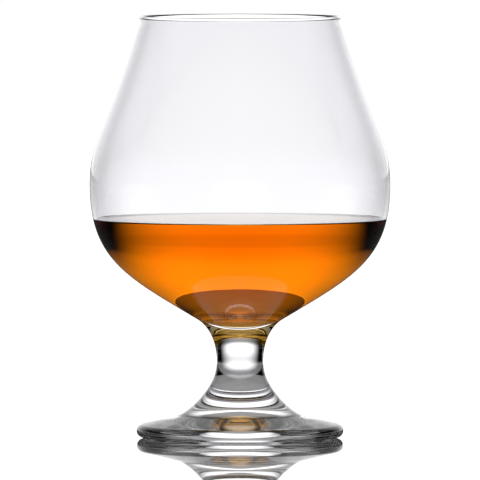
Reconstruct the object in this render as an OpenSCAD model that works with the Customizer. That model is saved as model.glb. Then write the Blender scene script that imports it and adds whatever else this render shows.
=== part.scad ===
// Brandy snifter: a wide blown bowl on a short stem and a heavy foot, with brandy in the bowl.
// Millimetres, +Z up. The origin is on the table, under the middle of the foot.
// The glass is one smooth outline turned about Z. The bowl, the stem and the foot each take
// their own stretch of it, so they meet face to face where the hot glass was fused.

/* [Bowl] */
// Height of the bowl, from the top of the stem to the rim
bowl_h = 105; // [80:1:130]
// Diameter of the bowl at its widest place
belly_d = 100; // [88:1:115]
// Height of the widest place above the stem
belly_h = 49; // [40:1:60]
// Outer diameter of the mouth at the rim
rim_d = 67; // [54:1:80]
// Thickness of the fire-polished bead round the rim
rim_t = 1.4; // [1.3:0.1:2.4]
// Thickness of the wall from the rim down to the widest place
wall = 1.2; // [0.8:0.1:1.8]
// Thickness of the wall at the heel, where the cone under the bowl turns into the stem
heel_t = 5.2; // [3.5:0.1:6]
// Radius of the round bottom inside the bowl
bottom_r = 11.6; // [8:0.2:14]
// How far the wall stays near upright above the widest place
shoulder_reach = 16; // [10:1:22]
// How far the straight flank runs down from the rim
flank_reach = 30; // [20:1:36]
// Lean of the flank at the rim, in degrees from upright
flank_angle = 17; // [12:1:24]
// How far the wall stays near upright below the widest place
under_reach = 25; // [16:1:30]
// How far the cone under the bowl runs out from its heel
cone_reach = 27.5; // [18:0.5:32]
// Slope of the cone under the bowl, in degrees from level
cone_angle = 31; // [24:1:36]

/* [Stem] */
// Length of the stem, from the foot to the bowl
stem_h = 23; // [20:1:40]
// Diameter of the stem at its narrowest place
waist_d = 15.4; // [12:0.2:18]
// Height of the narrowest place above the foot
waist_h = 12.8; // [9:0.2:16]
// Diameter at the heel, where the bowl's cone turns into the stem
heel_d = 28; // [24:0.5:34]
// Height of the heel above the top of the stem
heel_h = 4; // [3:0.25:6]
// How far the stem stays near upright above its narrowest place
neck_reach = 8.8; // [5:0.2:10]
// How far the cone's slope carries on below the heel
heel_reach = 2.6; // [1.5:0.1:5]

/* [Foot] */
// Diameter of the foot
foot_d = 68.8; // [60:0.4:80]
// Height of the foot in the middle, where the stem is fused on
foot_h = 12.4; // [11:0.2:16]
// Thickness of the foot's rounded edge
edge_t = 4.2; // [3:0.2:5.4]
// How far the rounded edge stays off the table
edge_lift = 0.3; // [0.1:0.1:0.8]
// Slope of the foot's top, in degrees from level
foot_angle = 14; // [10:1:17]
// Diameter where the flare of the stem has flattened into the foot's top
skirt_d = 42; // [36:1:48]
// How far the stem stays near upright below its narrowest place
skirt_reach = 8.4; // [5:0.2:10]
// How far the foot's slope carries on up into the flare
skirt_blend = 3.7; // [2:0.1:6]
// How far in from the rounded edge the glass reaches the table
ring_inset = 1.5; // [1:0.1:3]
// Width of the flat ring that the glass stands on
ring_w = 1.5; // [1:0.1:3]
// Height of the hollow under the foot, in the middle
punt_h = 3.6; // [2:0.2:6]
// Slope of the hollow at the ring, in degrees from level
punt_angle = 2; // [0:0.5:6]
// How far that slope runs in from the ring
punt_reach = 13; // [8:0.5:16]
// Radius over which the top of the hollow stays near level
crown_reach = 6; // [3:0.5:10]

/* [Brandy] */
// Depth of the brandy in the middle of the bowl
fill_h = 33.8; // [20:0.2:40]
// How high the edge of the brandy climbs the wall
meniscus_h = 0.4; // [0.2:0.1:1.6]
// How far from the wall that climb begins
meniscus_w = 1.6; // [0.6:0.1:3]
// Clearance between the brandy and the glass, so that the drink can swirl
swirl_gap = 0.2; // [0.1:0.05:0.4]

/* [Hidden] */

// Steps round the axis, and steps along each curve
$fn = 128;
curve_n = 20;
short_curve_n = 12;

// Levels above the table
foot_top_z = foot_h;
waist_z = foot_top_z + waist_h;
stem_top_z = foot_top_z + stem_h;
heel_z = stem_top_z + heel_h;
belly_z = stem_top_z + belly_h;
rim_z = stem_top_z + bowl_h;

// A curve is four points: it leaves the first towards the second, and comes into the fourth
// from the third
function on_curve(c, t) =
    pow(1 - t, 3) * c[0] + 3 * pow(1 - t, 2) * t * c[1]
    + 3 * (1 - t) * t * t * c[2] + pow(t, 3) * c[3];
// Direction of the curve, turned a quarter turn anticlockwise, of length one
function side_of(c, t) =
    let (v = pow(1 - t, 2) * (c[1] - c[0]) + 2 * (1 - t) * t * (c[2] - c[1])
        + t * t * (c[3] - c[2]))
    [-v.y, v.x] / norm(v);
function curve(c, n) = [for (i = [0 : n]) on_curve(c, i / n)];
// The curve moved to its side: by start_d over its first share, and from there by more and more,
// until it is end_d at the curve's end
steady_share = 0.25;
function growth(t) = pow(max(0, t - steady_share) / (1 - steady_share), 2);
function beside(c, start_d, end_d, n) =
    [for (i = [0 : n])
        on_curve(c, i / n) + side_of(c, i / n) * (start_d + (end_d - start_d) * growth(i / n))];
// A step of length d at angle a above level
function step(d, a) = [d * cos(a), d * sin(a)];

// Round points about a centre, from one angle to another
function round_of(centre, r, from, to) =
    [for (i = [0 : short_curve_n]) centre + step(r, from + (to - from) * i / short_curve_n)];
function after_first(points) = [for (i = [1 : len(points) - 1]) points[i]];
function backwards(points) = [for (i = [len(points) - 1 : -1 : 0]) points[i]];

// The outline of the glass, from the rim down. The flank comes in beside the bead's own round
bead_r = rim_t / 2;
bead = [rim_d / 2 - bead_r, rim_z - bead_r];
flank_top = bead + step(bead_r, flank_angle);
belly = [belly_d / 2, belly_z];
heel = [heel_d / 2, heel_z];
waist = [waist_d / 2, waist_z];
flank = [flank_top, flank_top - step(flank_reach, 90 + flank_angle), belly + [0, shoulder_reach], belly];
under = [belly, belly - [0, under_reach], heel + step(cone_reach, cone_angle), heel];
neck = [heel, heel - step(heel_reach, cone_angle), waist + [0, neck_reach], waist];

// The bead is round until it reaches the inside of the wall
bead_end_angle = flank_angle + 180 + acos(min(1, (wall - bead_r) / bead_r));

// The foot's top runs straight down from the skirt to the round edge, which it touches
edge_r = edge_t / 2;
edge = [foot_d / 2 - edge_r, edge_r + edge_lift];
edge_top = edge + step(edge_r, 90 - foot_angle);
skirt_run = edge_top.x - skirt_d / 2;
skirt_end = edge_top + [-skirt_run, skirt_run * tan(foot_angle)];
skirt = [waist, waist - [0, skirt_reach], skirt_end + step(skirt_blend, 180 - foot_angle), skirt_end];

// The hollow under the foot, from the ring to the axis
ring_outside = [edge.x - ring_inset, 0];
ring_inside = ring_outside - [ring_w, 0];
punt = [ring_inside, ring_inside + step(punt_reach, 180 - punt_angle),
    [crown_reach, punt_h], [0, punt_h]];

// The wall's inner side, or the brandy's side when gap is more than zero
function inside_wall(gap) = concat(
    after_first(beside(flank, -wall - gap, -wall - gap, curve_n)),
    after_first(beside(under, -wall - gap, -heel_t - gap, curve_n)));
// The cone inside runs straight on below the heel, into the round bottom, which it touches.
// The bottom's centre lies on the axis, its radius away from the cone
heel_inside = heel + step(heel_t, 90 + cone_angle);
bottom_centre = [0, heel_inside.y - heel_inside.x * tan(cone_angle) + bottom_r / cos(cone_angle)];
function inside_floor(gap) = round_of(bottom_centre, bottom_r - gap, cone_angle - 90, -90);
function inside(gap) = concat(inside_wall(gap), inside_floor(gap));

// The brandy's edge on the wall, and the curve that its surface climbs up to it
fill_z = bottom_centre.y - bottom_r + fill_h;
drink_side = inside(swirl_gap);
edge_level = fill_z + meniscus_h;
drink_edge = [lookup(edge_level, [for (p = drink_side) [p.y, p.x]]), edge_level];
climb_shares = [0.35, 0.2, 0.45];
climb = [
    drink_edge - [meniscus_w, meniscus_h],
    drink_edge - [meniscus_w * climb_shares[0], meniscus_h],
    drink_edge - [meniscus_w * climb_shares[1], meniscus_h * climb_shares[2]],
    drink_edge];

// What lies between two levels of a section
module between(low_z, high_z) {
    intersection() {
        children();
        translate([0, low_z])
            square([belly_d + foot_d, high_z - low_z]);
    }
}

// The wide blown bowl, with its polished rim and its thick base
module bowl() {
    color("aliceblue", 0.4)
        rotate_extrude()
            between(stem_top_z, rim_z)
                polygon(concat(
                    curve(flank, curve_n), curve(under, curve_n), curve(neck, short_curve_n),
                    [[0, waist_z]], backwards(inside(0)),
                    backwards(round_of(bead, bead_r, flank_angle, bead_end_angle))));
}

// The short solid stem with its waist
module stem() {
    color("lightsteelblue", 0.5)
        rotate_extrude()
            between(foot_top_z, stem_top_z)
                polygon(concat(
                    [[0, heel_z]], curve(neck, short_curve_n), curve(skirt, curve_n),
                    [[0, skirt_end.y]]));
}

// The heavy foot, hollow underneath, which stands on a flat ring
module foot() {
    color("lightslategray", 0.5)
        rotate_extrude()
            between(0, foot_top_z)
                polygon(concat(
                    [[0, waist_z]], curve(skirt, curve_n),
                    round_of(edge, edge_r, 90 - foot_angle, -90), [ring_outside],
                    curve(punt, short_curve_n)));
}

// The brandy, whose edge climbs the wall a little
module brandy() {
    color("darkorange", 0.8)
        rotate_extrude()
            polygon(concat(
                [[0, fill_z]], curve(climb, short_curve_n),
                [for (p = drink_side) if (p.y < edge_level) p]));
}

bowl();
stem();
foot();
brandy();
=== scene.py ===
# %% [markdown]
# # A brandy snifter, with brandy in it
#
# A snifter is a blown bowl, a short solid stem and a heavy pressed foot, fused while they are
# hot, with a drink in the bowl. Nearly all that we see of it is light that clear surfaces bend,
# so three things make the picture: exact surfaces, glass that knows what lies on its other
# side, and a studio that gives the glass something to show.
#
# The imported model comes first. It gives the real sizes, and each piece that we make stands
# exactly where its solid does.

# %% Load the frame
import math

import bpy
import numpy as np
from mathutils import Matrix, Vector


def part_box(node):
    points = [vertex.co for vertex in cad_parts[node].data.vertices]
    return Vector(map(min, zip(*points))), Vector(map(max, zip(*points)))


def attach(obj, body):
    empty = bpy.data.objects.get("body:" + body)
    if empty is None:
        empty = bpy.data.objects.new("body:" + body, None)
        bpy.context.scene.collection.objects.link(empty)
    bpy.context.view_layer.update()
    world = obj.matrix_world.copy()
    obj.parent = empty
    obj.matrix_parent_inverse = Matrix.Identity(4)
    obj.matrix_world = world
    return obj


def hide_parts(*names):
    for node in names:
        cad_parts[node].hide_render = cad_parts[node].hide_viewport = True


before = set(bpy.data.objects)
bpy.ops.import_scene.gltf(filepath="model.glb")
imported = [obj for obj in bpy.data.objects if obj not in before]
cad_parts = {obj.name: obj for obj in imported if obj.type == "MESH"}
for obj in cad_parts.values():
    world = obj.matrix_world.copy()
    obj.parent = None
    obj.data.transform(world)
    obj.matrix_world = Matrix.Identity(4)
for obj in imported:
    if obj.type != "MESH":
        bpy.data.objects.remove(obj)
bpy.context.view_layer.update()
mm = 0.001

# %% [markdown]
# ## The outline
#
# All of this glass was turned or blown about one upright axis, so its whole shape is in one
# outline: how far from the axis the glass reaches, at each height. We could move the points of
# an outline by hand in the viewport, or draw it with the curve tools. Here we write it down as
# a few arcs, lines and smooth curves, because a written curve meets the next one exactly, and
# glass shows the smallest kink.
#
# The levels of the joins and the widest places are read from the solids. What their boxes
# can't tell, such as the wall's thickness, is named in millimetres.

# %% Levels and radii
bowl_low, bowl_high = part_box("bowl")
foot_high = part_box("foot")[1]

rim_z = bowl_high.z
belly_r = bowl_high.x
stem_top_z = bowl_low.z
foot_top_z = foot_high.z
foot_r = foot_high.x
print("rim at", round(rim_z / mm, 1), "mm, joins at", round(stem_top_z / mm, 1), "and",
      round(foot_top_z / mm, 1), "mm")

# %% Steps, lines, arcs and smooth curves
up = np.array((0, 1))
upright = math.pi / 2


def step(length, angle):
    """A step of a given length at an angle above level: length (cos angle, sin angle)."""
    return length * np.array((math.cos(angle), math.sin(angle)))


def line(start, end, count):
    """Points on a straight line: start + (end - start) t, as t runs from 0 to 1."""
    return start + (np.asarray(end) - start) * np.linspace(0, 1, count + 1)[:, None]


def arc(centre, radius, start, end, count):
    """Points round a centre: centre + radius (cos a, sin a), as a runs from start to end."""
    a = np.linspace(start, end, count + 1)[:, None]
    return np.asarray(centre) + radius * np.hstack((np.cos(a), np.sin(a)))


def curve(corners, count):
    """Points on a smooth curve that leaves the first corner towards the second, and comes into
    the fourth from the third: the corners weighted by (1-t)^3, 3 (1-t)^2 t, 3 (1-t) t^2 and
    t^3, as t runs from 0 to 1."""
    t = np.linspace(0, 1, count + 1)[:, None]
    a, b, c, d = (np.asarray(corner, float) for corner in corners)
    return (1 - t) ** 3 * a + 3 * (1 - t) ** 2 * t * b + 3 * (1 - t) * t ** 2 * c + t ** 3 * d


print("a quarter round from (1, 0) ends at", arc((0, 0), 1, 0, upright, 8)[-1].round(3))

# %% [markdown]
# ## The outside of the bowl
#
# From the rim down, the wall leans out in a straight flank, turns upright at the belly, comes
# in as a cone under the bowl, and turns again at the heel into the waist of the stem. One long
# Bezier object could be dragged into this shape, with many handles to keep in line. Three short
# curves do it here. Each needs only its two ends, the direction at each end, and how far it
# keeps that direction, which is called its reach. Where two curves meet they share their
# direction, so the light runs on over the join.

# %% The places that the outline passes
rim_r = 33.5 * mm
bead_r = 0.7 * mm
belly_h = 49 * mm
heel_r = 14 * mm
heel_h = 4 * mm
waist_r = 7.7 * mm
waist_h = 12.8 * mm
flank_angle = math.radians(17)
cone_angle = math.radians(31)

bead = np.array((rim_r - bead_r, rim_z - bead_r))
flank_top = bead + step(bead_r, flank_angle)
belly = np.array((belly_r, stem_top_z + belly_h))
heel = np.array((heel_r, stem_top_z + heel_h))
waist = np.array((waist_r, foot_top_z + waist_h))
print("belly at", round(belly[1] / mm, 1), "mm, waist at", round(waist[1] / mm, 1), "mm")

# %% The curves from the rim down to the waist
flank_reach = 30 * mm
shoulder_reach = 16 * mm
under_reach = 25 * mm
cone_reach = 27.5 * mm
heel_reach = 2.6 * mm
neck_reach = 8.8 * mm
FLANK_STEPS = 64
UNDER_STEPS = 76
NECK_STEPS = 48

flank = curve((flank_top, flank_top - step(flank_reach, upright + flank_angle),
               belly + shoulder_reach * up, belly), FLANK_STEPS)
under = curve((belly, belly - under_reach * up,
               heel + step(cone_reach, cone_angle), heel), UNDER_STEPS)
neck = curve((heel, heel - step(heel_reach, cone_angle),
              waist + neck_reach * up, waist), NECK_STEPS)
print("narrowest", round(2 * neck[:, 0].min() / mm, 1), "mm across")

# %% [markdown]
# ## The outside of the foot
#
# Below the waist the stem flares into the foot's top, which runs straight down to a rounded
# edge. The foot touches the table only on a narrow flat ring and is hollow inside it, so that
# it can't rock. The hollow could be cut out with a boolean, but that leaves slivers, which show
# in glass. The outline simply goes on round the edge, over the ring and up to the axis.

# %% From the waist down to the rounded edge
foot_angle = math.radians(14)
edge_r = 2.1 * mm
edge_lift = 0.3 * mm
skirt_r = 21 * mm
skirt_reach = 8.4 * mm
skirt_blend = 3.7 * mm
SKIRT_STEPS = 80
TOP_STEPS = 40
LIP_STEPS = 48

edge = np.array((foot_r - edge_r, edge_r + edge_lift))
edge_top = edge + step(edge_r, upright - foot_angle)
skirt_end = np.array((skirt_r, edge_top[1] + (edge_top[0] - skirt_r) * math.tan(foot_angle)))
skirt = curve((waist, waist - skirt_reach * up,
               skirt_end + step(skirt_blend, math.pi - foot_angle), skirt_end), SKIRT_STEPS)
straight_top = line(skirt_end, edge_top, TOP_STEPS)[1:-1]
lip = arc(edge, edge_r, upright - foot_angle, -upright, LIP_STEPS)
print("the foot's top is straight for", round(np.linalg.norm(edge_top - skirt_end) / mm, 1), "mm")

# %% The ring and the hollow under the foot
ring_inset = 1.5 * mm
ring_w = 1.5 * mm
punt_h = 3.6 * mm
punt_reach = 13 * mm
punt_angle = math.radians(2)
crown_reach = 6 * mm
PUNT_STEPS = 60

ring_outside = np.array((edge[0] - ring_inset, 0))
ring_inside = ring_outside - (ring_w, 0)
punt = curve((ring_inside, ring_inside + step(punt_reach, math.pi - punt_angle),
              (crown_reach, punt_h), (0, punt_h)), PUNT_STEPS)
print("stands on a ring", round(2 * ring_outside[0] / mm, 1), "mm across")

# %% [markdown]
# ## The wall of the bowl
#
# A blown bowl is thin at its rim and belly, and thick at its heel, where the gather of glass
# was held. A Solidify modifier would give one thickness everywhere. We move the outline inwards
# instead, square to itself, by an amount that grows towards the heel. This one choice makes the
# dark patch at the bottom of the drink, which is the thick heel seen through the brandy.

# %% Move a path to its side
steady_share = 0.25


def beside(path, amount):
    """The path moved to its left, square to its own direction, by amount at each point."""
    along = np.gradient(path, axis=0)
    left = np.stack((-along[:, 1], along[:, 0]), 1)
    left /= np.linalg.norm(left, axis=1)[:, None]
    return path + left * np.broadcast_to(amount, len(path))[:, None]


def growth(share):
    """None over the first steady share of the way, then the square of how far along the rest
    we are."""
    return np.clip((share - steady_share) / (1 - steady_share), 0, 1) ** 2


print("halfway under the bowl,", round(growth(0.5), 2), "of the wall's growth has come")

# %% The inside of the bowl
wall = 1.2 * mm
heel_wall = 5.2 * mm
bottom_r = 11.6 * mm
CONE_STEPS = 10
BOTTOM_STEPS = 28


def inside(gap):
    """The bowl's inner side from the rim to the axis: the outline moved in by the wall and a
    gap, then the cone run straight on, into a round bottom that it touches."""
    side = beside(flank, -wall - gap)
    way = np.linspace(0, 1, len(under))
    low = beside(under, -wall - gap - (heel_wall - wall) * growth(way))
    below_cone = (bottom_r - gap) / math.cos(cone_angle)
    centre = (0, low[-1, 1] - low[-1, 0] * math.tan(cone_angle) + below_cone)
    bottom = arc(centre, bottom_r - gap, cone_angle - upright, -upright, BOTTOM_STEPS)
    cone = line(low[-1], bottom[0], CONE_STEPS)
    return np.vstack((side, low[1:], cone[1:], bottom[1:]))


bottom_z = inside(0)[-1, 1]
print("bottom of the bowl", round((bottom_z - stem_top_z) / mm, 1), "mm above the stem")

# %% [markdown]
# ## From an outline to a surface
#
# Blender has two ways to turn an outline: the Screw modifier and the Spin tool. Both leave a
# ring of doubled points at each end on the axis, to be merged later, and both can turn the
# faces inside out, which glass doesn't forgive. So we compute the points. A point of the
# surface has two parameters, its place along the outline and its angle about the axis, and all
# of them are worked out as whole arrays.

# %% Points and faces of a turned surface
SIDES = 256
WHOLE_TURN = 2 * math.pi


def turned_points(outline):
    """Points of a surface of revolution: x = r cos a, y = r sin a and z = z, for the (r, z)
    points between an outline's ends, as a runs round once, then the two ends, on the axis."""
    r, z = outline[1:-1].T
    a = WHOLE_TURN * np.arange(SIDES) / SIDES
    around = np.stack((np.outer(r, np.cos(a)), np.outer(r, np.sin(a)), np.outer(z, np.ones(SIDES))), -1)
    poles = np.array(((0, 0, outline[0, 1]), (0, 0, outline[-1, 1])))
    return np.vstack((around.reshape(-1, 3), poles))


def turned_faces(rings):
    """Faces between those points: a fan of triangles round each end, then a row of four-sided
    faces between each ring and the next. A point's number is its ring times SIDES, plus its
    place on the ring, and the ends have the last two numbers."""
    here = np.arange(SIDES)
    there = (here + 1) % SIDES
    first_pole = np.full(SIDES, rings * SIDES)
    last_ring = (rings - 1) * SIDES
    first_fan = np.stack((first_pole, there, here), -1)
    last_fan = np.stack((first_pole + 1, last_ring + here, last_ring + there), -1)
    ring = np.arange(rings - 1)[:, None] * SIDES
    rows = np.stack((ring + here, ring + there, ring + SIDES + there, ring + SIDES + here), -1)
    return first_fan.tolist() + last_fan.tolist() + rows.reshape(-1, 4).tolist()


print("one step round the axis is", round(math.degrees(WHOLE_TURN / SIDES), 2), "degrees")

# %% [markdown]
# ## Sharp rings
#
# Smooth shading hides the small steps between faces, but it also rounds off a real edge, such
# as the one where the rim's bead meets the inside of the wall. There it would draw a thick
# black line. Blender can split smooth shading by angle, with a modifier. We know the outline,
# so we mark its few sharp rings ourselves, and the mesh needs no modifier.

# %% Crease where the outline turns sharply
CREASE = math.radians(35)


def crease_rings(mesh, outline):
    """Marks as sharp each ring where the outline's direction changes by more than CREASE. An
    edge lies along a ring when both of its ends have the same ring number."""
    along = np.diff(outline, axis=0)
    direction = np.arctan2(along[:, 1], along[:, 0])
    bend = np.abs((np.diff(direction) + math.pi) % WHOLE_TURN - math.pi)
    sharp_rings = np.flatnonzero(bend > CREASE)
    ends = np.empty(2 * len(mesh.edges), np.int32)
    mesh.edges.foreach_get("vertices", ends)
    ring = np.where(ends < len(bend) * SIDES, ends // SIDES, -1).reshape(-1, 2)
    along_ring = ring[:, 0] == ring[:, 1]
    mesh.edges.foreach_set("use_edge_sharp", along_ring & np.isin(ring[:, 0], sharp_rings))
    return len(sharp_rings)


# %% [markdown]
# ## The lathe
#
# One closed piece can be bare glass here, wet glass there and a fused seam at its end. So an
# outline is handed over as stretches, each with its finish. A piece holds its finishes in
# material slots, and each face holds the number of its slot.

# %% Turn an outline into a piece
def turned(name, finishes, *stretches):
    """A closed piece, turned about the axis. The stretches make one outline, which runs
    anticlockwise from the axis back to the axis, so that the faces point outwards. A row of
    faces takes the finish of the stretch that it leads to."""
    outline = np.vstack([points for points, finish in stretches])
    slot_along = np.concatenate([np.full(len(np.atleast_2d(points)), finishes.index(finish))
                                 for points, finish in stretches])[1:]
    faces = turned_faces(len(outline) - 2)
    slots = np.repeat(np.concatenate((slot_along[[0, -1]], slot_along[1:-1])), SIDES)

    mesh = bpy.data.meshes.new(name)
    mesh.from_pydata(turned_points(outline), [], faces)
    for finish in finishes:
        mesh.materials.append(finish)
    mesh.polygons.foreach_set("material_index", slots.astype(np.int32))
    mesh.polygons.foreach_set("use_smooth", np.ones(len(slots), bool))
    sharp_count = crease_rings(mesh, outline)
    mesh.update()
    piece = bpy.data.objects.new(name, mesh)
    bpy.context.scene.collection.objects.link(piece)
    print(name, "has outline points:", len(outline), "faces:", len(faces), "sharp rings:", sharp_count)
    return piece


# %% [markdown]
# ## Node trees in a few words
#
# A material, and the world, is a tree of nodes. We could click the nodes together in the
# shader editor. Written out, each link takes a line, so this small helper makes a node, sets
# its sockets and links them in one go, and a finish reads like a formula.

# %% A helper for node trees
class Graph:
    """An empty node tree, and short ways to fill it."""

    def __init__(self, owner):
        owner.use_nodes = True
        self.tree = owner.node_tree
        self.tree.nodes.clear()

    def node(self, kind, **sockets):
        """A new node. Each socket is given by its name, with _ for a space."""
        made = self.tree.nodes.new(kind)
        for key, value in sockets.items():
            self.put(made, key.replace("_", " "), value)
        return made

    def put(self, node, key, value):
        """Links another node's output to a socket, or else sets the socket to a value."""
        if isinstance(value, bpy.types.NodeSocket):
            self.tree.links.new(value, node.inputs[key])
        else:
            node.inputs[key].default_value = value

    def mix(self, share, first, second):
        """Two shaders mixed: the first where share is 0, the second where it is 1."""
        made = self.node("ShaderNodeMixShader", Fac=share)
        self.put(made, 1, first)
        self.put(made, 2, second)
        return made.outputs[0]


# %% [markdown]
# ## Clear glass
#
# Glass has no colour of its own to speak of: we see it because it bends and mirrors. How much
# it bends is the index of refraction, 1.5 for soda glass in air. The trap is a glass with a
# drink in it. Where the wall touches the brandy, light goes from 1.5 to 1.36, and a plain glass
# material there would bend it far too much, as if a film of air lay between them. So a surface
# between two materials gets the ratio of their indices, and the fused seams, where glass meets
# glass, get 1, which bends nothing.
#
# The glass in the photo has a faint lavender cast. It was polished by the flame where it was
# blown, pressed with a slight orange-peel under the foot, and it is wet below the drink's edge.
# Blown glass is never quite even, so a bump gives it faint waves, a few thousandths of a
# millimetre high. Through the drink such waves show less, so the wet wall gets higher ones.

# %% The glass finishes
GLASS_IOR = 1.5
BRANDY_IOR = 1.36
GLASS_TINT = (0.98, 0.98, 1)
WATER_WHITE = (1, 1, 1)


def clear_body(graph, ior, tint, roughness=0.0):
    """A clear shader: all of the light that isn't mirrored goes through, bent by the index."""
    shader = graph.node("ShaderNodeBsdfPrincipled", IOR=ior, Roughness=roughness)
    shader.inputs["Base Color"].default_value = (*tint, 1)
    shader.inputs["Transmission Weight"].default_value = 1
    return shader


def glass_finish(name, ior, roughness=0.0, wave_h=0.0, wave_w=1.0):
    """Clear glass. With a wave height, its surface rises and falls softly by that much, over
    the given width."""
    material = bpy.data.materials.new(name)
    graph = Graph(material)
    shader = clear_body(graph, ior, GLASS_TINT, roughness)
    if wave_h:
        place = graph.node("ShaderNodeTexCoord").outputs["Object"]
        waves = graph.node("ShaderNodeTexNoise", Vector=place, Scale=1 / wave_w, Detail=1.0)
        bump = graph.node("ShaderNodeBump", Height=waves.outputs[0], Distance=wave_h)
        graph.put(shader, "Normal", bump.outputs["Normal"])
    graph.node("ShaderNodeOutputMaterial", Surface=shader.outputs["BSDF"])
    return material


blown = glass_finish("Blown glass", GLASS_IOR, wave_h=0.004 * mm, wave_w=14 * mm)
wet = glass_finish("Wet glass", GLASS_IOR / BRANDY_IOR, wave_h=0.03 * mm, wave_w=8 * mm)
seam = glass_finish("Fused seam", 1.0)
pressed = glass_finish("Pressed glass", GLASS_IOR, roughness=0.02, wave_h=0.003 * mm, wave_w=4.5 * mm)
print("index between the wall and the drink:", round(GLASS_IOR / BRANDY_IOR, 3))

# %% [markdown]
# ## The levels of the drink
#
# The brandy's surface is level, and climbs the wall by a hair's breadth all round, as every
# drink does. That small climb is what draws the fine dark line where the drink meets the glass.
# The bowl needs this level too, because below it the inside of the wall is wet. So the outline
# must be cut at an exact height.

# %% The drink's surface
fill_h = 33.8 * mm
climb_h = 0.4 * mm
climb_w = 1.6 * mm
fill_z = bottom_z + fill_h
edge_z = fill_z + climb_h


def cut(path, low, high):
    """The stretch of a path between two heights, in the path's own order. It ends exactly at
    them, with the radius read between the path's own points."""
    falls = path[0, 1] > path[-1, 1]
    rising = path[::-1] if falls else path
    levels = (max(low, rising[0, 1]), min(high, rising[-1, 1]))
    between = rising[(rising[:, 1] > levels[0]) & (rising[:, 1] < levels[1])]
    ends = [(np.interp(z, rising[:, 1], rising[:, 0]), z) for z in levels]
    whole = np.vstack((ends[:1], between, ends[1:]))
    return whole[::-1] if falls else whole


print("the drink stands at", round(fill_z / mm, 1), "mm and is",
      round(2 * cut(inside(0), 0, edge_z)[0, 0] / mm, 1), "mm across")

# %% [markdown]
# ## The bowl
#
# The bowl is one closed surface: up the outside from the join, round the fire-polished bead,
# down the inside, and back to the axis. The bead could be rounded by a Bevel modifier, but an
# arc in the outline gives it its exact size. At the join the bowl stops a hundredth of a
# millimetre short of the stem, because two surfaces in exactly the same place confuse a ray of
# light.

# %% Make the bowl
SEAM_GAP = 0.01 * mm
BEAD_STEPS = 16

# The bead turns on past its half round, by this angle, until it reaches the inside of the wall
past_half_round = 0.75
bead_round = arc(bead, bead_r, flank_angle, flank_angle + math.pi + past_half_round, BEAD_STEPS)
inner = inside(0)
inner = inner[inner[:, 1] < bead_round[-1, 1]]
join_z = stem_top_z + SEAM_GAP
outer = cut(np.vstack((flank, under[1:], neck[1:])), join_z, rim_z)[::-1]

bowl = turned("bowl_glass", (blown, wet, seam),
              ((0, join_z), seam), (outer[:1], seam), (outer[1:], blown), (bead_round[1:], blown),
              (cut(inner, edge_z, rim_z), blown), (cut(inner, 0, edge_z)[1:], wet))

# %% [markdown]
# ## The stem
#
# The stem is solid. Only its side is a free surface. Its two ends are seams, so that light
# runs from the foot through the stem into the bowl as if they were one piece of glass, which
# they are. One mesh for all the glass would look the same, but the stem is made as a piece of
# its own, so it stays one.

# %% Make the stem
stem_side = cut(np.vstack((neck, skirt[1:])), foot_top_z, stem_top_z)[::-1]
stem = turned("stem_glass", (blown, seam),
              ((0, foot_top_z), seam), (stem_side[:1], seam), (stem_side[1:], blown),
              ((0, stem_top_z), seam))

# %% [markdown]
# ## The foot
#
# The foot is a heavy disc with a rounded edge. Its top was polished by the flame. Its underside
# was pressed in a mould and never polished, so it is a little rough, which softens what we see
# through the foot. One finish for the whole piece would need a mask to tell the two apart, so
# the underside is a stretch of its own.

# %% Make the foot
foot_join_z = foot_top_z - SEAM_GAP
foot_top = np.vstack((cut(skirt, 0, foot_join_z), straight_top))
foot = turned("foot_glass", (blown, seam, pressed),
              (punt[::-1], pressed), (ring_outside, pressed), (lip[::-1], blown),
              (foot_top[::-1], blown), ((0, foot_join_z), seam))

# %% [markdown]
# ## The brandy
#
# The drink fills the bowl, two hundredths of a millimetre clear of the wall. It is coloured by
# its depth: a Volume Absorption node takes a share of each colour for every millimetre that the
# light travels, so the thin edge is yellow and the middle orange, with no painting.
#
# Its top bends light as a drink in air does, and its side not at all, because the wet wall
# already does that. It would be natural to give the two their own materials. But a ray that
# goes in through one material and comes out through another never closes the volume, and goes
# on losing light outside. So the brandy is one material, which mixes two clear shaders by a
# mark that is stored on each face.

# %% The colour of brandy
BRANDY_COLOUR = (0.994, 0.745, 0.0, 1)
BRANDY_DENSITY = 80.0
TOP_MARK = "open_top"

brandy_look = bpy.data.materials.new("Brandy")
graph = Graph(brandy_look)
against_glass = clear_body(graph, 1.0, WATER_WHITE)
in_air = clear_body(graph, BRANDY_IOR, WATER_WHITE)
mark = graph.node("ShaderNodeAttribute")
mark.attribute_name = TOP_MARK
depth = graph.node("ShaderNodeVolumeAbsorption", Color=BRANDY_COLOUR, Density=BRANDY_DENSITY)
graph.node("ShaderNodeOutputMaterial", Volume=depth.outputs["Volume"],
           Surface=graph.mix(mark.outputs["Fac"], against_glass.outputs["BSDF"], in_air.outputs["BSDF"]))

# Of a colour, e to the power of -density (1 - colour) depth is left
trial_depth = 10 * mm
kept_green = math.exp(-BRANDY_DENSITY * (1 - BRANDY_COLOUR[1]) * trial_depth)
print("a drink", round(trial_depth / mm), "mm deep keeps", round(100 * kept_green), "% of the green light")

# %% Make the brandy
CLEAR_OF_WALL = 0.02 * mm
CLIMB_STEPS = 16
LEVEL_STEPS = 12
climb_shares = (0.35, 0.2, 0.45)

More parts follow.
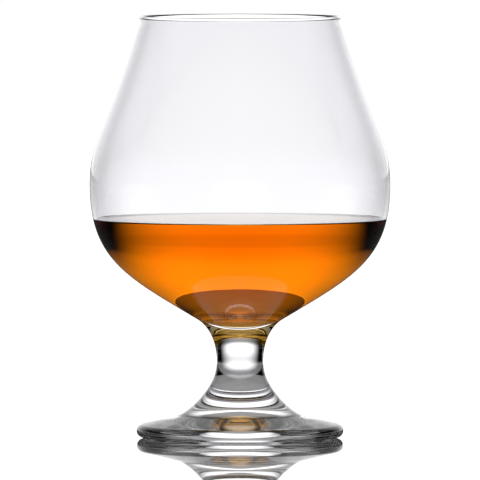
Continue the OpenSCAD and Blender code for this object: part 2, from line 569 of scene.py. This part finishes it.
drink_side = inside(CLEAR_OF_WALL)
drink_edge = np.array((np.interp(edge_z, drink_side[::-1, 1], drink_side[::-1, 0]), edge_z))
drink_side = drink_side[drink_side[:, 1] < edge_z]
climb = curve((drink_edge - (climb_w, climb_h), drink_edge - (climb_shares[0] * climb_w, climb_h),
               drink_edge - (climb_shares[1] * climb_w, climb_shares[2] * climb_h), drink_edge),
              CLIMB_STEPS)
level = line(climb[0], (0, fill_z), LEVEL_STEPS)
drink_outline = np.vstack((drink_side[::-1], climb[::-1], level[1:]))
brandy = turned("brandy_drink", (brandy_look,), (drink_outline, brandy_look))


# %% Mark the open top
def mark_open_top(piece, name):
    """Stores a number on each face: 1 where the face looks up, and so is open to the air, and
    0 where it looks down or aside, against the wall."""
    mesh = piece.data
    normals = np.empty(3 * len(mesh.polygons), np.float32)
    mesh.polygons.foreach_get("normal", normals)
    looks_up = normals.reshape(-1, 3)[:, 2] > 0
    stored = mesh.attributes.new(name, "FLOAT", "FACE")
    stored.data.foreach_set("value", looks_up.astype(np.float32))
    return int(looks_up.sum())


print(mark_open_top(brandy, TOP_MARK), "faces of the drink are open to the air")

# %% [markdown]
# ## What moves with what
#
# The three pieces of glass are one rigid body. The drink is a body of its own, which turns in
# the bowl when the glass is swirled. We could parent the pieces by hand. The calls at the top
# do it by the body's name, and hide the solid that each surface takes the place of.

# %% Ride and replace
for piece, node, body, slot in (
        (bowl, "bowl", "glass", "bowl_glass"),
        (stem, "stem", "glass", "stem_glass"),
        (foot, "foot", "glass", "foot_glass"),
        (brandy, "brandy", "drink", "brandy")):
    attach(piece, body)
    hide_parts(node)
    print(piece.name, "rides on", body)

# %% [markdown]
# ## Light as a formula
#
# The studio and the floor are lit by formulas of direction and distance, so the helper learns
# some arithmetic. Almost every term is a soft step, because a real light ends softly, and a
# hard end would draw a line in the glass.

# %% Arithmetic in a node tree
class LightGraph(Graph):
    """A node tree that can also calculate. A value is a number or another node's output."""

    def calculate(self, operation, *values):
        """One step of arithmetic, by the operation's name."""
        made = self.tree.nodes.new("ShaderNodeMath")
        made.operation = operation
        for i, value in enumerate(values):
            self.put(made, i, value)
        return made.outputs[0]

    def times(self, *values):
        """The product of any number of values."""
        product = values[0]
        for value in values[1:]:
            product = self.calculate("MULTIPLY", product, value)
        return product

    def greater(self, first, second):
        """The greater of two values."""
        return self.calculate("MAXIMUM", first, second)

    def without(self, value):
        """What is left of 1 when a value is taken away."""
        return self.calculate("SUBTRACT", 1, value)

    def at_least(self, count, least):
        """1 where a whole number is at least so many, which is above the half before it."""
        return self.calculate("GREATER_THAN", count, least - 0.5)

    def ramp(self, value, start, end, low, high, form="LINEAR"):
        """An even climb: low before start, high after end, and straight between them."""
        made = self.tree.nodes.new("ShaderNodeMapRange")
        made.interpolation_type = form
        self.put(made, "Value", value)
        for key, number in (("From Min", start), ("From Max", end), ("To Min", low), ("To Max", high)):
            made.inputs[key].default_value = number
        return made.outputs[0]

    def fade(self, value, start, end, low, high):
        """A soft step: low before start, high after end, and 3 t^2 - 2 t^3 between them."""
        return self.ramp(value, start, end, low, high, "SMOOTHSTEP")

    def fade_angle(self, angle, start, end, low, high):
        """A soft step over an angle, whose start and end are given in degrees."""
        return self.fade(angle, math.radians(start), math.radians(end), low, high)


# %% [markdown]
# ## What the glass looks at
#
# Clear glass on white is drawn by its surroundings. A photographer stands it before one lit
# panel and leaves the sides of the room dark: the middle of the glass then shows the panel,
# and its edges bend the eye round to the dark, which gives each form its thin dark outline.
#
# The panels could be lamps or glowing planes. We paint them on the world by direction, because
# a formula gives them soft ends, and can give each kind of ray its own studio. Light that was
# mirrored inside the glass sees only the panel behind. Light that comes straight through also
# sees a narrower panel on each of the other three sides, so that the glass looks well from all
# round. What the outside of the glass mirrors is kept faint, as from a dark studio.

# %% The light panels
PANEL = 1.2
SHEEN = 0.03
QUARTER_TURN = math.pi / 2

# Each soft step is its start and end, in degrees, and its value before and after them
BACK_PANEL = (8, 44, PANEL, 0)
SIDE_PANEL = (6, 28, PANEL, 0)


def heading(graph, x, y):
    """The angle between a direction and the middle of the back panel, as seen from above: the
    size of the angle whose tangent is x over y."""
    return graph.calculate("ABSOLUTE", graph.calculate("ARCTAN2", x, y))


def panel_light(graph, turn, all_round):
    """How bright the panels are at a heading: the back panel, and where all_round is 1 a
    narrower one at each quarter turn."""
    back = graph.fade_angle(turn, *BACK_PANEL)
    quarters = graph.calculate("ROUND", graph.calculate("DIVIDE", turn, QUARTER_TURN))
    nearest = graph.times(quarters, QUARTER_TURN)
    from_nearest = graph.calculate("ABSOLUTE", graph.calculate("SUBTRACT", turn, nearest))
    sides = graph.fade_angle(from_nearest, *SIDE_PANEL)
    return graph.greater(back, graph.times(sides, all_round))


def faint_outside(graph, light, outer):
    """The light, of which only the sheen's share is left where outer is 1."""
    return graph.times(light, graph.without(graph.times(outer, 1 - SHEEN)))


print("the back panel is bright", BACK_PANEL[0], "degrees to each side, and dark past", BACK_PANEL[1])

# %% [markdown]
# ## What a ray has been through
#
# The Light Path node says what has happened to a ray: how often it was mirrored (Glossy
# Depth), how many clear surfaces it went through (Transmission Depth), and whether the last
# surface that it met was perfectly smooth (Is Singular Ray). The floor is very slightly rough,
# which tells its mirror image from one in the glass. The pressed underside of the foot is a
# little rough too, but what passes it goes on to the floor.
#
# It would be simpler to count each mirror image alike. But then the glass is dark grey from
# behind, because the floor mirrors the light on its way to it, and the brandy is black from the
# side, because its level top does. So a ray that one of these two has mirrored is let off.

# %% Questions about a ray
DRINK_CROSSINGS = 5


def never_in_glass(graph, path):
    """1 for a ray that hasn't gone through any surface."""
    return graph.without(graph.at_least(path.outputs["Transmission Depth"], 1))


def straight_through(graph, path):
    """1 for a ray that no glass has mirrored: one that nothing has mirrored, or one that was
    mirrored once, either by the floor, or on its way through the drink, where it crosses the
    glass and the drink on both sides."""
    mirrored = path.outputs["Glossy Depth"]
    by_floor = graph.without(path.outputs["Is Singular Ray"])
    by_drink = graph.at_least(path.outputs["Transmission Depth"], DRINK_CROSSINGS)
    at_most_once = graph.without(graph.at_least(mirrored, 2))
    let_off = graph.times(at_most_once, graph.greater(by_floor, by_drink))
    return graph.greater(graph.without(graph.at_least(mirrored, 1)), let_off)


def off_the_outside(graph, path):
    """1 for a ray that the outside of the glass has mirrored, and that never went in. Where
    the floor mirrored it too, it was mirrored twice."""
    mirrored_twice = graph.at_least(path.outputs["Glossy Depth"], 2)
    by_glass = graph.greater(path.outputs["Is Singular Ray"], mirrored_twice)
    return graph.times(never_in_glass(graph, path), by_glass)


# %% [markdown]
# ## The world
#
# The panels are half as bright again towards their tops, above which a fifth of their light is
# left. Close to the horizon they are a little dimmer. The far floor mirrors that strip into the
# upper bowl, which is a little greyer than the lower one in the photo. A faint ceiling keeps
# the glass from going black where it bends the eye straight up.

# %% The studio's light
HORIZON = (1.2, 2.3, 0.84, 1)
PANEL_GLOW = (2, 9, 1, 1.5)
PANEL_TOP = (14, 25, 1, 0.2)
CEILING = (50, 65, 0, 0.3)

world = bpy.data.worlds.new("Studio")
bpy.context.scene.world = world
graph = LightGraph(world)
aim = graph.node("ShaderNodeSeparateXYZ", Vector=graph.node("ShaderNodeTexCoord").outputs["Generated"])
turn = heading(graph, aim.outputs["X"], aim.outputs["Y"])
rise = graph.calculate("ARCSINE", aim.outputs["Z"])
path = graph.node("ShaderNodeLightPath")
outer = off_the_outside(graph, path)

panels = panel_light(graph, turn, straight_through(graph, path))
for soft_step in (PANEL_TOP, PANEL_GLOW, HORIZON):
    panels = graph.times(panels, graph.fade_angle(rise, *soft_step))
lit = graph.calculate("ADD", panels, graph.fade_angle(rise, *CEILING))
lit = faint_outside(graph, lit, outer)
print("brightest part of a panel", round(PANEL * PANEL_GLOW[3], 2))

# %% [markdown]
# The foot's top lies nearly along the line of sight, so it mirrors a good part of what stands
# behind it, higher up than the panel. A tall soft light there gives the foot its pale top,
# which fades towards its front. A fainter ring of light, higher up, does a little of the same
# all round. A big lamp would do this too, but it would also shine through the glass. These two
# show only in what the outside of the glass mirrors.

# %% The tall light behind
TALL_WIDTH = (10, 60, 1, 0)
TALL_SHADE = (3, 25, 1, 0.6)
TALL_TOP = (30, 60, 1, 0)
RING_START = (15, 30, 0, 0.35)
RING_TOP = (50, 75, 1, 0)

never_in = never_in_glass(graph, path)
mirrored_outside = graph.times(never_in, path.outputs["Is Singular Ray"])
tall_light = graph.times(graph.fade_angle(turn, *TALL_WIDTH), graph.fade_angle(rise, *TALL_SHADE),
                         graph.fade_angle(rise, *TALL_TOP))
high_ring = graph.times(graph.fade_angle(rise, *RING_START), graph.fade_angle(rise, *RING_TOP))
glints = graph.times(mirrored_outside, graph.greater(tall_light, high_ring))
lit = graph.calculate("ADD", lit, glints)
print("the tall light ends", TALL_TOP[1], "degrees up, the ring", RING_TOP[1])

# %% [markdown]
# A white room would light the glass from all round, and its dark outlines would be gone. So
# only the camera, the floor and the floor's mirror image see plain white instead of the studio:
# a strength of at least 1, which the Standard view shows as white. Light Path tells these rays
# apart, so the background is white and the glass still has its dark sides.

# %% The white background
WHITE = (1, 1, 1, 1)
off_floor = graph.times(path.outputs["Is Glossy Ray"], never_in, graph.without(outer))
seen = graph.greater(path.outputs["Is Camera Ray"], path.outputs["Is Diffuse Ray"])
strength = graph.greater(lit, graph.greater(seen, off_floor))
background = graph.node("ShaderNodeBackground", Color=WHITE, Strength=strength)
graph.node("ShaderNodeOutputWorld", Surface=background.outputs["Background"])
print("the studio takes", len(world.node_tree.nodes), "nodes")

# %% [markdown]
# ## The floor
#
# The snifter stands on a glossy white table that mirrors it. A plane with a Principled finish
# could stand for it, with lamps over it. But the table seen through the glass is the brightest
# thing below it, so for those rays it glows with painted light. The glow is less close to the
# foot, a painted shadow standing for the glass keeping its own light off it, and farther out
# it shows only where the panels stand over it. Rays that were mirrored in the glass see the
# whole floor behind it glow. Without the painted shadow close to the foot, the foot would have
# no dark ends.
#
# The mirror grows stronger the lower one looks along it, as on any lacquer, and the Layer
# Weight node gives that. The floor lies a hair lower than the foot's ring, because two faces in
# the same place would show as a patchwork.

# %% Make the floor
FLOOR_HALF = 8.0
FLOOR_DROP = 0.02 * mm
corners = FLOOR_HALF * np.array(((-1, -1, 0), (1, -1, 0), (1, 1, 0), (-1, 1, 0)))
floor_mesh = bpy.data.meshes.new("floor")
floor_mesh.from_pydata(corners, [], [(0, 1, 2, 3)])
floor = bpy.data.objects.new("floor", floor_mesh)
floor.location.z = -FLOOR_DROP
bpy.context.scene.collection.objects.link(floor)
print("the floor is", 2 * FLOOR_HALF, "m wide")

# %% How the floor glows in the glass
# The first two soft steps are in metres from the axis, and the third is in degrees
# OWN_SHADE is a painted shadow: it dims the floor's painted glow close to the foot
OWN_SHADE = (0.05, 0.25, 0.25, 1.25)
TABLE_END = (0.6, 1.2, 1, 0)
BEHIND = (40, 75, 1, 0)

lacquer = bpy.data.materials.new("Glossy floor")
graph = LightGraph(lacquer)
place = graph.node("ShaderNodeSeparateXYZ", Vector=graph.node("ShaderNodeNewGeometry").outputs["Position"])
x, y = place.outputs["X"], place.outputs["Y"]
reach = graph.calculate("SQRT", graph.calculate("ADD", graph.times(x, x), graph.times(y, y)))
turn = heading(graph, x, y)
path = graph.node("ShaderNodeLightPath")
straight = straight_through(graph, path)

table = graph.times(straight, graph.fade(reach, *TABLE_END))
behind = graph.times(graph.fade_angle(turn, *BEHIND), graph.without(straight))
glow = graph.greater(graph.greater(table, behind), panel_light(graph, turn, straight))
glow = graph.times(graph.fade(reach, *OWN_SHADE), glow)
glow = faint_outside(graph, glow, off_the_outside(graph, path))
print("under the foot the floor glows", OWN_SHADE[2], "times, far from it", OWN_SHADE[3], "times")

# %% The floor's own white, and its mirror
FLOOR_WHITE = (0.97, 0.97, 0.97, 1)
FLOOR_ROUGHNESS = 0.012
MIRROR_GAIN = (0.55, 0.957, 0.05, 0.985)

# The floor's glow is painted light, an emission that every ray but the camera's sees
painted_floor_glow = graph.node("ShaderNodeEmission", Strength=glow).outputs["Emission"]
seen_floor = graph.node("ShaderNodeBsdfDiffuse", Color=FLOOR_WHITE).outputs["BSDF"]
coat = graph.node("ShaderNodeBsdfGlossy", Color=WHITE, Roughness=FLOOR_ROUGHNESS).outputs["BSDF"]
facing = graph.node("ShaderNodeLayerWeight").outputs["Facing"]
mirror = graph.ramp(facing, *MIRROR_GAIN)
under_coat = graph.mix(path.outputs["Is Camera Ray"], painted_floor_glow, seen_floor)
graph.node("ShaderNodeOutputMaterial", Surface=graph.mix(mirror, under_coat, coat))
floor.data.materials.append(lacquer)
print("the floor mirrors from", MIRROR_GAIN[2], "to", MIRROR_GAIN[3], "of the light")

# %% [markdown]
# ## The camera
#
# The photo was taken with a long lens from well back, a little above the table: the mouth is a
# flat oval, and the sides don't spread. The camera could be aimed with a Track To constraint.
# Its height over the middle of the picture and its distance already give its tilt, about two
# and a half degrees. It sees well past the far edge of the floor.

# %% Place the camera
LENS = 824
SENSOR = 36
FARTHEST_SEEN = 100
eye = np.array((0, -3.65, 0.2239))
middle = np.array((0, 0, 0.0659))
camera = bpy.data.objects.new("camera", bpy.data.cameras.new("camera"))
camera.data.sensor_width = SENSOR
camera.data.lens = LENS
camera.data.clip_end = FARTHEST_SEEN
camera.location = eye
tilt = math.atan2(eye[2] - middle[2], middle[1] - eye[1])
camera.rotation_euler = (upright - tilt, 0, 0)
bpy.context.scene.collection.objects.link(camera)
bpy.context.scene.camera = camera
print("camera looks down by", round(math.degrees(tilt), 2), "degrees")

# %% [markdown]
# ## How far light may travel
#
# A ray that goes through the bowl and the brandy crosses six surfaces before it is mirrored
# even once. With Blender's usual dozen bounces, the stem and the foot would turn black, so
# clear pieces get many more. The colours are shown as they are, with the Standard view.

# %% Set the bounces and the view
CLEAR_BOUNCES = 48
MIRROR_BOUNCES = 16
scene = bpy.context.scene
scene.view_settings.view_transform = "Standard"
scene.cycles.max_bounces = CLEAR_BOUNCES
scene.cycles.transmission_bounces = CLEAR_BOUNCES
scene.cycles.glossy_bounces = MIRROR_BOUNCES
scene.cycles.caustics_reflective = True
scene.cycles.caustics_refractive = True
print("light may go through", CLEAR_BOUNCES, "surfaces")
